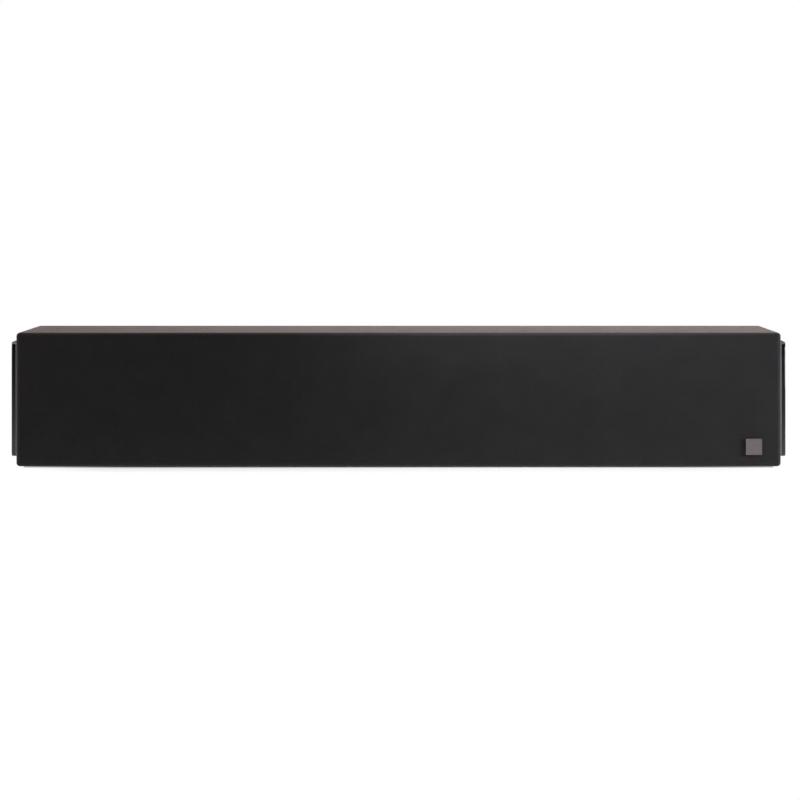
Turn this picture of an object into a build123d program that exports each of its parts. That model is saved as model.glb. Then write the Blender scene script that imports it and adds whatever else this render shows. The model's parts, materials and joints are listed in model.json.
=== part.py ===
import os
from math import cos, radians, sin

from build123d import *

# Millimetres. X runs along the speaker, Y from the front to the back, Z up.
# The origin is on the floor under the middle of the body.

# Body, over the cloth
body_width = 836.0
body_depth = 215.0
body_height = 146.4
edge_radius = 4.0
cloth_thickness = 0.8
foot_height = 0.6
foot_radius = 9.0
foot_chamfer = 0.2
foot_inset_x = 46.0
foot_inset_y = 32.0

# Cabinet boards
panel_thickness = 12.0
baffle_thickness = 15.0
grille_frame_thickness = 9.0
batten_side = 12.0
lip_depth = 8.0
brace_rim = 24.0
brace_corner = 20.0
fit_gap = 0.3
slip_gap = 0.1
grip_gap = 0.05
hole_spare = 0.5
grille_hole_inset = 2.0
grille_hole_chamfer = 4.0

# Ends
end_inset = 10.5
end_corner_radius = 5.0
carrier_thickness = 1.8
end_panel_thickness = 4.3
end_edge_radius = 0.8
cloth_tuck = 8.0
plinth_corner = 2.0
peg_radius = 2.5
peg_length = 2.2
peg_inset = 23.0
carrier_screw_inset = 14.0

# Badge plate on the front
badge_side = 17.4
badge_thickness = 2.5
badge_corner = 0.4
badge_chamfer = 0.3
badge_inset_x = 21.0
badge_inset_z = 13.0
badge_pin_radius = 1.2
badge_pin_length = 5.0

# Woofers and passive radiators share one frame size
driver_flange_radius = 59.0
flange_thickness = 4.0
driver_gap = 6.0
basket_radius = 50.0
basket_wall = 2.0
basket_ledge = 26.0
basket_depth = 43.0
basket_taper = 6.0
basket_window = 36.0
basket_vent = 16.0
motor_seat_radius = 36.0
spoke_count = 6
seat_depth = 1.7
seat_gap = 0.5
roll_middle = 42.0
roll_radius = 5.0
rubber_thickness = 0.8
rim_width = 3.5
cone_radius = 36.8
cone_thickness = 1.0
cone_depth = 18.0
cone_bow = 1.4
neck_length = 3.0
cap_radius = 16.8
cap_rise = 5.7
pole_radius = 12.4
former_thickness = 0.35
former_stub = 0.5
winding_thickness = 0.45
winding_length = 10.0
coil_gap = 0.4
plate_gap = 0.5
motor_hole_gap = 2.4
magnet_gap = 3.4
spider_folds = 5
spider_rise = 1.1
spider_collar = 1.6
spider_margin = 2.0
fold_margin = 1.0
top_plate_radius = 30.0
top_plate_thickness = 5.0
magnet_radius = 35.0
magnet_thickness = 14.0
yoke_radius = 33.0
yoke_thickness = 5.0
yoke_chamfer = 1.0
pole_drop = 0.5
vent_radius = 4.0
radiator_skirt = 14.0
radiator_mass_radius = 12.0
radiator_mass_height = 6.5
radiator_dish = 3.0
radiator_edge = 7.0
radiator_thickness = 1.5

# Tweeter
tweeter_flange_radius = 45.0
dome_radius = 12.7
dome_rise = 4.4
dome_thickness = 0.4
dome_edge_gap = 0.35
dome_coil_thickness = 0.3
dome_coil_reach = 2.5
tweeter_pole_radius = 12.0
tweeter_roll_radius = 2.05
tweeter_rim_width = 2.8
faceplate_rim = 8.0
faceplate_lip = 1.2
waveguide_bow = 0.9
tweeter_plate_radius = 32.0
tweeter_plate_thickness = 4.0
tweeter_magnet_radius = 30.0
tweeter_magnet_thickness = 8.0
tweeter_magnet_gap = 3.0
tweeter_yoke_inset = 1.0
tweeter_pole_drop = 1.0

# Screws
screw_head_radius = 3.2
screw_shank_radius = 1.6
screw_slot_length = 3.6
screw_slot_width = 0.9
screw_slot_depth = 1.2
screw_edge_gap = 1.6
driver_screw_length = 16.0
rear_screw_length = 22.0
rear_screw_margin = 24.0
rear_screw_columns = 5
carrier_screw_length = 13.0

# Rear terminals
cup_width = 76.0
cup_height = 50.0
cup_depth = 32.0
cup_wall = 2.5
cup_flange = 8.0
cup_corner = 5.0
cup_taper = 4.0
cup_edge_radius = 0.8
cup_screw_offset = 1.5
post_spacing = 19.05
post_radius = 4.0
post_bore_radius = 2.0
post_bore_depth = 18.0
post_bore_tip = 1.0
post_shank_radius = 3.0
post_collar_radius = 6.5
post_collar_height = 2.0
post_tail = 12.0
post_recess = 4.0
post_chamfer = 0.6
cross_hole_radius = 1.4
nut_radius = 7.5
nut_flutes = 12
nut_play = 0.06
nut_cap = 1.8
nut_chamfer = 1.5
nut_waist = 1.0
nut_mouth_chamfer = 0.8
flute_radius = 1.1
flute_bite = 0.55
lock_nut_radius = 5.5
lock_nut_height = 4.0

# Crossover and damping
board_length = 110.0
board_width = 78.0
board_thickness = 1.6
board_offset = 4.0
board_gap = 4.0
standoff_height = 5.0
standoff_radius = 3.5
standoff_pin_radius = 2.0
standoff_inset = 5.0
clip_radius = 2.6
clip_tip_radius = 1.4
clip_height = 2.0
clip_rise = 0.2
block_length = 24.0
block_width = 10.0
block_height = 9.0
block_inset = 16.0
block_share = 0.3
inductor_radius = 17.5
inductor_core_radius = 8.5
inductor_height = 17.0
inductor_inset = 11.5
inductor_offset = 2.5
inductor_gap = 1.0
capacitor_radius = 7.0
capacitor_length = 34.0
capacitor_gap = 2.0
capacitor_offset = 1.5
capacitor_chamfer = 1.0
lead_radius = 1.6
lead_bend = 6.0
lead_rise = 0.4
lead_inset = 4.0
lead_spread = 24.0
lead_loop = 8.0
lead_step = 4.0
solder_gap = 0.5
pad_depth = 70.0
pad_edge_radius = 9.0
pad_end_gap = 8.0
pad_play = 1.0

# Levels that follow from the dimensions above
centre_z = foot_height + body_height / 2
cab_width = body_width - 2 * cloth_thickness
cab_depth = body_depth - 2 * cloth_thickness
cab_height = body_height - 2 * cloth_thickness
cab_bottom = foot_height + cloth_thickness
cab_top = cab_bottom + cab_height
front_y = -body_depth / 2
frame_front_y = front_y + cloth_thickness
baffle_front_y = frame_front_y + grille_frame_thickness
baffle_back_y = baffle_front_y + baffle_thickness
rear_y = body_depth / 2 - cloth_thickness
rear_inner_y = rear_y - panel_thickness
inner_width = cab_width - 2 * panel_thickness
inner_height = cab_height - 2 * panel_thickness
inner_bottom = cab_bottom + panel_thickness
window_depth = body_depth - 2 * (end_inset + cloth_tuck)
window_height = body_height - 2 * (end_inset + cloth_tuck)
brace_gap = panel_thickness + 2 * driver_gap
woofer_x = tweeter_flange_radius + driver_gap + driver_flange_radius
brace_x = woofer_x + driver_flange_radius + brace_gap / 2
radiator_x = woofer_x + 2 * driver_flange_radius + brace_gap
large_xs = (-radiator_x, -woofer_x, woofer_x, radiator_x)
sides = {"left": -1, "right": 1}
screw_circle = (driver_flange_radius + roll_middle + roll_radius + rim_width) / 2 + fit_gap
centred_below = (Align.CENTER, Align.CENTER, Align.MAX)
centred_above = (Align.CENTER, Align.CENTER, Align.MIN)

pieces = {}


def driver_axis(x):
    """Axis of the driver at x, pointing at the listener."""
    return Axis((x, baffle_front_y, centre_z), (0, -1, 0))


def section(x):
    """Plane through a driver's axis: radius across, height above the baffle face up."""
    return Plane(origin=(x, baffle_front_y, centre_z), x_dir=(1, 0, 0), z_dir=(0, 0, -1))


def front_face(x, y, z):
    """Plane that looks forward at a point, with X to the right and Z up."""
    return Plane(origin=(x, y, z), x_dir=(1, 0, 0), z_dir=(0, -1, 0))


def rear_face(x, y, z):
    """Plane that looks backward at a point, with Z up."""
    return Plane(origin=(x, y, z), x_dir=(-1, 0, 0), z_dir=(0, 1, 0))


def end_face(side):
    """Plane of the cloth at one end, looking outward, with Z up."""
    return Plane(origin=(side * body_width / 2, 0, centre_z), x_dir=(0, side, 0), z_dir=(side, 0, 0))


def on_plane(plane, points):
    """Places on a plane, from points given across it."""
    return [plane.location * Location((u, v, 0)) for u, v in points]


def ring(radius, count, start):
    """Points evenly round a circle, from a start angle in degrees."""
    return [
        (radius * cos(radians(start + 360 * i / count)), radius * sin(radians(start + 360 * i / count)))
        for i in range(count)
    ]


def grid(half_u, half_v):
    """The four corners of a rectangle."""
    return [(u, v) for u in (-half_u, half_u) for v in (-half_v, half_v)]


def revolved(x, outline):
    """A turned piece of the driver at x, from points of radius and height above the baffle face."""
    with BuildPart() as turned:
        with BuildSketch(section(x)):
            with BuildLine():
                Polyline(*outline, close=True)
            make_face()
        revolve(axis=driver_axis(x))
    return turned.part


def screws(places, length):
    """Countersunk cross-head screws with their heads flush at the places, as one group."""
    slot = (screw_slot_length, screw_slot_width)
    with BuildPart() as group:
        with Locations(*places):
            Cylinder(screw_shank_radius, length, align=centred_below)
            Cone(
                screw_shank_radius,
                screw_head_radius,
                screw_head_radius - screw_shank_radius,
                align=centred_below,
            )
            for across, along in (slot, slot[::-1]):
                Box(across, along, screw_slot_depth, align=centred_below, mode=Mode.SUBTRACT)
    return group.part


def drill_countersunk():
    """Clearance hole and countersink for a screw, at the current places."""
    CounterSinkHole(screw_shank_radius + fit_gap / 2, screw_head_radius + fit_gap / 2, counter_sink_angle=90)


def drill_pilot(depth):
    """Blind hole for the shank of a screw, at the current places."""
    Hole(screw_shank_radius + grip_gap, depth=depth)


# The rounded block that the cloth is stretched over; each board is a slice of it
with BuildPart() as cabinet_form:
    with Locations((0, 0, centre_z)):
        Box(cab_width, cab_depth, cab_height)
    fillet(cabinet_form.edges(), edge_radius - cloth_thickness)


def board(low, high):
    """A cabinet board between two corners, rounded where it forms the outside."""
    size = Vector(*high) - Vector(*low)
    with BuildPart() as slab:
        with Locations((Vector(*high) + Vector(*low)) * 0.5):
            Box(size.X, size.Y, size.Z)
        add(cabinet_form.part, mode=Mode.INTERSECT)
    return slab.part


half_width = cab_width / 2
driver_places = [
    place
    for x in large_xs
    for place in on_plane(front_face(x, baffle_front_y, centre_z), ring(screw_circle, 4, 45))
]
tweeter_screw_circle = tweeter_flange_radius - screw_head_radius - screw_edge_gap
driver_places += on_plane(front_face(0, baffle_front_y, centre_z), ring(tweeter_screw_circle, 4, 45))

# Front baffle with a rebated cutout for each driver
with BuildPart() as front_baffle:
    add(board((-half_width, baffle_front_y, cab_bottom), (half_width, baffle_back_y, cab_top)))
    with Locations(*[front_face(x, baffle_front_y, centre_z) for x in large_xs]):
        CounterBoreHole(basket_radius + fit_gap, driver_flange_radius + fit_gap, flange_thickness)
    with Locations(front_face(0, baffle_front_y, centre_z)):
        CounterBoreHole(
            tweeter_plate_radius + fit_gap, tweeter_flange_radius + fit_gap, flange_thickness
        )
    with Locations(*driver_places):
        drill_pilot(driver_screw_length + hole_spare)
pieces["front_baffle"] = front_baffle.part

# Top, bottom and end boards behind the baffle
pieces["top_panel"] = board(
    (-half_width, baffle_back_y, cab_top - panel_thickness), (half_width, rear_y, cab_top)
)
pieces["bottom_panel"] = board(
    (-half_width, baffle_back_y, cab_bottom), (half_width, rear_y, inner_bottom)
)

carrier_screw_points = grid(window_depth / 4, window_height / 2 - carrier_screw_inset)
for side_name, side in sides.items():
    with BuildPart() as end_board:
        inner_x = side * (half_width - panel_thickness)
        outer_x = side * half_width
        add(
            board(
                (min(inner_x, outer_x), baffle_back_y, inner_bottom),
                (max(inner_x, outer_x), rear_y, inner_bottom + inner_height),
            )
        )
        with Locations(*on_plane(end_face(side), carrier_screw_points)):
            drill_pilot(carrier_screw_length + hole_spare)
    pieces[f"end_board_{side_name}"] = end_board.part

# Window braces between the bays
brace_depth = rear_inner_y - batten_side - baffle_back_y
for side_name, side in sides.items():
    with BuildPart() as brace:
        with Locations((side * brace_x, baffle_back_y + brace_depth / 2, centre_z)):
            Box(panel_thickness, brace_depth, inner_height)
        across = Plane(
            origin=(side * brace_x, baffle_back_y + brace_depth / 2, centre_z),
            x_dir=(0, 1, 0),
            z_dir=(1, 0, 0),
        )
        with BuildSketch(across):
            RectangleRounded(brace_depth - 2 * brace_rim, inner_height - 2 * brace_rim, brace_corner)
        extrude(amount=panel_thickness, both=True, mode=Mode.SUBTRACT)
    pieces[f"brace_{side_name}"] = brace.part

# Rear panel in its opening, held by screws to four battens
panel_half_width = inner_width / 2 - cloth_thickness - fit_gap
panel_half_height = inner_height / 2 - cloth_thickness - fit_gap
rear_plane = rear_face(0, rear_y, centre_z)
batten_u = inner_width / 2 - batten_side / 2
batten_v = inner_height / 2 - batten_side / 2
rear_step = (inner_width - 2 * rear_screw_margin) / (rear_screw_columns - 1)
rear_points = [
    (rear_screw_margin - inner_width / 2 + i * rear_step, v)
    for i in range(rear_screw_columns)
    for v in (-batten_v, batten_v)
]
rear_points += [(u, 0) for u in (-batten_u, batten_u)]
cup_outer_width = cup_width + 2 * cup_wall
cup_outer_height = cup_height + 2 * cup_wall
cup_points = grid(cup_outer_width / 2 + cup_screw_offset, cup_outer_height / 2 + cup_screw_offset)
cup_flange_thickness = cup_wall
cup_plane = rear_face(0, rear_y + cup_flange_thickness, centre_z)

with BuildPart() as rear_panel:
    with Locations((0, rear_y - panel_thickness / 2, centre_z)):
        Box(2 * panel_half_width, panel_thickness, 2 * panel_half_height)
    with BuildSketch(rear_plane):
        RectangleRounded(
            cup_outer_width + 2 * fit_gap, cup_outer_height + 2 * fit_gap, cup_corner + cup_wall
        )
    extrude(amount=-panel_thickness, mode=Mode.SUBTRACT)
    with Locations(*on_plane(rear_plane, rear_points)):
        drill_countersunk()
    with Locations(*on_plane(rear_plane, cup_points)):
        drill_pilot(panel_thickness)
pieces["rear_panel"] = rear_panel.part

with BuildPart() as rear_battens:
    batten_y = rear_inner_y - batten_side / 2
    for side in sides.values():
        with Locations((0, batten_y, centre_z + side * batten_v)):
            Box(inner_width, batten_side, batten_side)
        with Locations((side * batten_u, batten_y, centre_z)):
            Box(batten_side, batten_side, inner_height - 2 * batten_side - slip_gap)
    with Locations(*on_plane(rear_plane, rear_points)):
        drill_pilot(rear_screw_length + hole_spare)
pieces["rear_battens"] = rear_battens.part

# Grille frame: a flat board that holds the cloth clear of the cones
badge_x = body_width / 2 - badge_inset_x - badge_side / 2
badge_z = foot_height + badge_inset_z + badge_side / 2
badge_plane = front_face(badge_x, front_y, badge_z)
badge_pins = [(0, badge_side / 4), (0, -badge_side / 4)]
with BuildPart() as grille_frame:
    add(board((-half_width, frame_front_y, cab_bottom), (half_width, baffle_front_y, cab_top)))
    with BuildSketch(front_face(0, frame_front_y, centre_z)):
        with Locations(*[(x, 0) for x in large_xs]):
            Circle(driver_flange_radius - grille_hole_inset)
        Circle(tweeter_flange_radius - grille_hole_inset)
    extrude(amount=-grille_frame_thickness, mode=Mode.SUBTRACT)
    chamfer(grille_frame.edges().filter_by(GeomType.CIRCLE).group_by(Axis.Y)[0], grille_hole_chamfer)
    with Locations(*on_plane(badge_plane, badge_pins)):
        Hole(badge_pin_radius + slip_gap, depth=badge_pin_length + hole_spare)
pieces["grille_frame"] = grille_frame.part

# Grille cloth: one stretched sleeve, tucked round the rear rim and under the end carriers
with BuildPart() as grille_cloth:
    with Locations((0, 0, centre_z)):
        Box(body_width, body_depth, body_height)
    fillet(grille_cloth.edges(), edge_radius)
    add(cabinet_form.part, mode=Mode.SUBTRACT)
    with Locations(*[(side * body_width / 2, 0, centre_z) for side in sides.values()]):
        Box(4 * cloth_thickness, window_depth, window_height, mode=Mode.SUBTRACT)
    lip_length = lip_depth + cloth_thickness
    with Locations((0, rear_y - lip_depth + lip_length / 2, centre_z)):
        Box(inner_width, lip_length, inner_height)
        Box(
            inner_width - 2 * cloth_thickness,
            lip_length,
            inner_height - 2 * cloth_thickness,
            mode=Mode.SUBTRACT,
        )
    with Locations(*on_plane(badge_plane, badge_pins)):
        Hole(badge_pin_radius + slip_gap, depth=2 * cloth_thickness)
pieces["grille_cloth"] = grille_cloth.part

# Badge plate with two pins through the cloth
with BuildPart() as badge:
    with BuildSketch(badge_plane):
        RectangleRounded(badge_side, badge_side, badge_corner)
    extrude(amount=badge_thickness)
    chamfer(badge.faces().sort_by(Axis.Y)[0].edges(), badge_chamfer)
    with Locations(*on_plane(badge_plane, badge_pins)):
        Cylinder(badge_pin_radius, badge_pin_length, align=centred_below)
pieces["badge"] = badge.part

# Ends: a satin carrier clamps the cloth, and the gloss panel pegs into it
end_depth = body_depth - 2 * end_inset
end_height = body_height - 2 * end_inset
peg_points = grid(end_depth / 2 - peg_inset, end_height / 2 - peg_inset)
carrier_places = []
for side_name, side in sides.items():
    cloth_plane = end_face(side)
    outer_plane = cloth_plane.offset(carrier_thickness)
    with BuildPart() as end_carrier:
        with BuildSketch(cloth_plane):
            RectangleRounded(end_depth, end_height, end_corner_radius)
        extrude(amount=carrier_thickness)
        with BuildSketch(cloth_plane):
            RectangleRounded(window_depth - 2 * fit_gap, window_height - 2 * fit_gap, plinth_corner)
        extrude(amount=-cloth_thickness)
        with Locations(*on_plane(outer_plane, peg_points)):
            Hole(peg_radius + slip_gap)
        with Locations(*on_plane(outer_plane, carrier_screw_points)):
            drill_countersunk()
    pieces[f"end_carrier_{side_name}"] = end_carrier.part

    with BuildPart() as end_panel:
        with BuildSketch(outer_plane):
            RectangleRounded(end_depth, end_height, end_corner_radius)
        extrude(amount=end_panel_thickness)
        fillet(end_panel.faces().sort_by(Axis.X)[0 if side < 0 else -1].edges(), end_edge_radius)
        with Locations(*on_plane(outer_plane, peg_points)):
            Cylinder(peg_radius, peg_length, align=centred_below)
    pieces[f"end_panel_{side_name}"] = end_panel.part
    carrier_places += on_plane(outer_plane, carrier_screw_points)
pieces["end_carrier_screws"] = screws(carrier_places, carrier_screw_length)

# Rubber feet under the cloth
with BuildPart() as rubber_feet:
    foot_points = grid(body_width / 2 - foot_inset_x, body_depth / 2 - foot_inset_y)
    with Locations(*[(x, y, 0) for x, y in foot_points]):
        Cylinder(foot_radius, foot_height, align=centred_above)
    chamfer(rubber_feet.edges().group_by(Axis.Z)[0], foot_chamfer)
pieces["rubber_feet"] = rubber_feet.part


def surround(x):
    """Half-roll rubber surround between the frame's seat and the edge of the cone."""
    with BuildPart() as roll:
        with BuildSketch(section(x)):
            with Locations((roll_middle, -seat_depth)):
                Circle(roll_radius)
                Circle(roll_radius - rubber_thickness, mode=Mode.SUBTRACT)
                Rectangle(
                    3 * roll_radius,
                    2 * roll_radius,
                    align=(Align.CENTER, Align.MAX),
                    mode=Mode.SUBTRACT,
                )
            with Locations((roll_middle + roll_radius - rubber_thickness, -seat_depth)):
                Rectangle(rim_width + rubber_thickness, rubber_thickness, align=(Align.MIN, Align.MIN))
            with Locations((roll_middle - roll_radius + rubber_thickness, -seat_depth)):
                Rectangle(rim_width + rubber_thickness, rubber_thickness, align=(Align.MAX, Align.MIN))
        revolve(axis=driver_axis(x))
    return roll.part


seat_inner = roll_middle + roll_radius
seat_outer = seat_inner + rim_width + seat_gap
former_inner = pole_radius + coil_gap
former_outer = former_inner + former_thickness
winding_outer = former_outer + winding_thickness
gap_middle = -basket_depth - top_plate_thickness / 2
winding_low = gap_middle - winding_length / 2
winding_high = gap_middle + winding_length / 2
neck_radius = former_outer + grip_gap
cone_top = -seat_depth - fit_gap
neck_height = cone_top - cone_depth
magnet_top = -basket_depth - top_plate_thickness
magnet_low = magnet_top - magnet_thickness
ledge_inner = motor_seat_radius - basket_wall
cap_sphere = (cap_radius ** 2 + cap_rise ** 2) / (2 * cap_rise)
cap_base = cone_top - cone_depth * (cone_radius - cap_radius) / (cone_radius - neck_radius)
spider_inner = former_outer + fit_gap
spider_middle = -basket_ledge + rubber_thickness / 2
spider_outer = basket_radius - basket_taper - basket_wall - spider_margin
fold_width = (ledge_inner - fold_margin - spider_inner - spider_collar) / spider_folds
folds = [spider_inner + spider_collar + i * fold_width for i in range(spider_folds + 1)]
spider_levels = (spider_middle - rubber_thickness / 2, spider_middle + rubber_thickness / 2)


# Woofers
for side_name, side in sides.items():
    x = side * woofer_x
    flange_plane = front_face(x, baffle_front_y, centre_z)

    with BuildPart() as basket:
        add(
            revolved(
                x,
                [
                    (driver_flange_radius, 0),
                    (driver_flange_radius, -flange_thickness),
                    (basket_radius, -flange_thickness),
                    (basket_radius - basket_taper, -basket_ledge - basket_wall),
                    (motor_seat_radius, -basket_ledge - basket_wall),
                    (motor_seat_radius, -basket_depth),
                    (winding_outer + motor_hole_gap, -basket_depth),
                    (winding_outer + motor_hole_gap, -basket_depth + basket_wall),
                    (ledge_inner, -basket_depth + basket_wall),
                    (ledge_inner, -basket_ledge),
                    (basket_radius - basket_taper - basket_wall, -basket_ledge),
                    (seat_inner, -flange_thickness - 2 * basket_wall),
                    (seat_inner, -seat_depth),
                    (seat_outer, -seat_depth),
                    (seat_outer, 0),
                ],
            )
        )
        with Locations(flange_plane.offset(-flange_thickness - 2 * basket_wall)):
            with PolarLocations(ledge_inner, spoke_count):
                Box(
                    driver_flange_radius - ledge_inner,
                    basket_window,
                    basket_ledge - flange_thickness - 3 * basket_wall,
                    align=(Align.MIN, Align.CENTER, Align.MAX),
                    mode=Mode.SUBTRACT,
                )
        with Locations(flange_plane.offset(-basket_ledge - 2 * basket_wall)):
            with PolarLocations(ledge_inner - basket_wall, spoke_count, 180 / spoke_count):
                Box(
                    4 * basket_wall,
                    basket_vent,
                    basket_depth - basket_ledge - 4 * basket_wall,
                    align=(Align.MIN, Align.CENTER, Align.MAX),
                    mode=Mode.SUBTRACT,
                )
        with Locations(*on_plane(flange_plane, ring(screw_circle, 4, 45))):
            drill_countersunk()
    pieces[f"woofer_basket_{side_name}"] = basket.part

    pieces[f"woofer_surround_{side_name}"] = surround(x)

    with BuildPart() as spider:
        with BuildSketch(section(x)):
            with BuildLine():
                for level in spider_levels:
                    Line((spider_inner, level), (folds[0], level))
                    for i in range(spider_folds):
                        ThreePointArc(
                            (folds[i], level),
                            (folds[i] + fold_width / 2, level + spider_rise * (-1) ** i),
                            (folds[i + 1], level),
                        )
                    Line((folds[-1], level), (spider_outer, level))
                for edge in (spider_inner, spider_outer):
                    Line((edge, spider_levels[0]), (edge, spider_levels[1]))
            make_face()
        revolve(axis=driver_axis(x))
    pieces[f"woofer_spider_{side_name}"] = spider.part

    with BuildPart() as cone:
        with BuildSketch(section(x)):
            bow = ((cone_radius + neck_radius) / 2 - cone_bow, cone_top - cone_depth / 2 - cone_bow)
            with BuildLine():
                ThreePointArc((cone_radius, cone_top), bow, (neck_radius, neck_height))
                Line((neck_radius, neck_height), (neck_radius, neck_height - cone_thickness))
                ThreePointArc(
                    (neck_radius, neck_height - cone_thickness),
                    (bow[0], bow[1] - cone_thickness),
                    (cone_radius, cone_top - cone_thickness),
                )
                Line((cone_radius, cone_top - cone_thickness), (cone_radius, cone_top))
            make_face()
            with Locations((neck_radius, neck_height)):
                Rectangle(cone_thickness, neck_length, align=(Align.MIN, Align.MAX))
        revolve(axis=driver_axis(x))
        with BuildSketch(section(x)):
            with Locations((0, cap_base + cap_rise - cap_sphere)):
                Circle(cap_sphere)
                Circle(cap_sphere - cone_thickness, mode=Mode.SUBTRACT)
            with Locations((0, cap_base + cap_rise)):
                Rectangle(
                    cap_radius,
                    2 * cap_rise,
                    align=(Align.MIN, Align.MAX),
                    mode=Mode.INTERSECT,
                )
        revolve(axis=driver_axis(x))
    pieces[f"woofer_cone_{side_name}"] = cone.part

    pieces[f"woofer_voice_coil_{side_name}"] = revolved(
        x,
        [
            (former_inner, neck_height + former_stub),
            (former_outer, neck_height + former_stub),
            (former_outer, winding_high),
            (winding_outer, winding_high),
            (winding_outer, winding_low),
            (former_inner, winding_low),
        ],
    )
    pieces[f"woofer_top_plate_{side_name}"] = revolved(
        x,
        [
            (winding_outer + plate_gap, -basket_depth),
            (top_plate_radius, -basket_depth),
            (top_plate_radius, magnet_top),
            (winding_outer + plate_gap, magnet_top),
        ],
    )
    pieces[f"woofer_magnet_{side_name}"] = revolved(
        x,
        [
            (winding_outer + magnet_gap, magnet_top),
            (magnet_radius, magnet_top),
            (magnet_radius, magnet_low),
            (winding_outer + magnet_gap, magnet_low),
        ],
    )
    pieces[f"woofer_yoke_{side_name}"] = revolved(
        x,
        [
            (vent_radius, -basket_depth - pole_drop),
            (pole_radius, -basket_depth - pole_drop),
            (pole_radius, magnet_low),
            (yoke_radius, magnet_low),
            (yoke_radius, magnet_low - yoke_thickness + yoke_chamfer),
            (yoke_radius - yoke_chamfer, magnet_low - yoke_thickness),
            (vent_radius, magnet_low - yoke_thickness),
        ],
    )

# Passive radiators
dish_top = cone_top - radiator_dish
dish_low = dish_top - radiator_thickness
for side_name, side in sides.items():
    x = side * radiator_x
    with BuildPart() as radiator_frame:
        add(
            revolved(
                x,
                [
                    (driver_flange_radius, 0),
                    (driver_flange_radius, -flange_thickness),
                    (basket_radius, -flange_thickness),
                    (basket_radius, -radiator_skirt),
                    (seat_inner, -radiator_skirt),
                    (seat_inner, -seat_depth),
                    (seat_outer, -seat_depth),
                    (seat_outer, 0),
                ],
            )
        )
        with Locations(*on_plane(front_face(x, baffle_front_y, centre_z), ring(screw_circle, 4, 45))):
            drill_countersunk()
    pieces[f"radiator_frame_{side_name}"] = radiator_frame.part
    pieces[f"radiator_surround_{side_name}"] = surround(x)
    pieces[f"radiator_cone_{side_name}"] = revolved(
        x,
        [
            (0, dish_top),
            (cone_radius - radiator_edge, dish_top),
            (cone_radius, cone_top),
            (cone_radius, cone_top - radiator_thickness),
            (cone_radius - radiator_edge, dish_low),
            (radiator_mass_radius, dish_low),
            (radiator_mass_radius, dish_low - radiator_mass_height),
            (0, dish_low - radiator_mass_height),
        ],
    )

# Tweeter
roll_inner = dome_radius + dome_edge_gap
tweeter_roll_middle = roll_inner + tweeter_roll_radius
tweeter_roll_outer = tweeter_roll_middle + tweeter_roll_radius
tweeter_rim = tweeter_roll_outer + tweeter_rim_width
plate_top = -flange_thickness
dome_base = plate_top + dome_thickness
tweeter_magnet_top = plate_top - tweeter_plate_thickness
tweeter_magnet_low = tweeter_magnet_top - tweeter_magnet_thickness
tweeter_yoke_radius = tweeter_magnet_radius - tweeter_yoke_inset
dome_sphere = (dome_radius ** 2 + dome_rise ** 2) / (2 * dome_rise)

with BuildPart() as tweeter_faceplate:
    mouth = tweeter_roll_outer + fit_gap
    with BuildSketch(section(0)):
        with BuildLine():
            Polyline(
                (tweeter_flange_radius - faceplate_rim, 0),
                (tweeter_flange_radius, 0),
                (tweeter_flange_radius, plate_top),
                (tweeter_rim + fit_gap, plate_top),
                (tweeter_rim + fit_gap, plate_top + dome_thickness + grip_gap),
                (mouth, plate_top + dome_thickness + grip_gap),
                (mouth, plate_top + faceplate_lip),
            )
            ThreePointArc(
                (mouth, plate_top + faceplate_lip),
                ((mouth + tweeter_flange_radius - faceplate_rim) / 2, -waveguide_bow),
                (tweeter_flange_radius - faceplate_rim, 0),
            )
        make_face()
    revolve(axis=driver_axis(0))
    with Locations(*on_plane(front_face(0, baffle_front_y, centre_z), ring(tweeter_screw_circle, 4, 45))):
        drill_countersunk()
pieces["tweeter_faceplate"] = tweeter_faceplate.part

with BuildPart() as tweeter_surround:
    with BuildSketch(section(0)):
        with Locations((tweeter_roll_middle, plate_top)):
            Circle(tweeter_roll_radius)
            Circle(tweeter_roll_radius - dome_thickness, mode=Mode.SUBTRACT)
            Rectangle(
                3 * tweeter_roll_radius,
                2 * tweeter_roll_radius,
                align=(Align.CENTER, Align.MAX),
                mode=Mode.SUBTRACT,
            )
        with Locations((tweeter_roll_outer - dome_thickness, plate_top)):
            Rectangle(tweeter_rim_width + dome_thickness, dome_thickness, align=(Align.MIN, Align.MIN))
    revolve(axis=driver_axis(0))
pieces["tweeter_surround"] = tweeter_surround.part

with BuildPart() as tweeter_dome:
    with BuildSketch(section(0)):
        with Locations((0, dome_base + dome_rise - dome_sphere)):
            Circle(dome_sphere)
            Circle(dome_sphere - dome_thickness, mode=Mode.SUBTRACT)
        with Locations((0, dome_base + dome_rise)):
            Rectangle(dome_radius, dome_rise, align=(Align.MIN, Align.MAX), mode=Mode.INTERSECT)
    revolve(axis=driver_axis(0))
    with BuildSketch(section(0)):
        with Locations((dome_radius, dome_base + dome_coil_thickness)):
            Rectangle(
                dome_coil_thickness,
                tweeter_plate_thickness + dome_coil_reach,
                align=(Align.MAX, Align.MAX),
            )
    revolve(axis=driver_axis(0))
pieces["tweeter_dome"] = tweeter_dome.part

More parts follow.
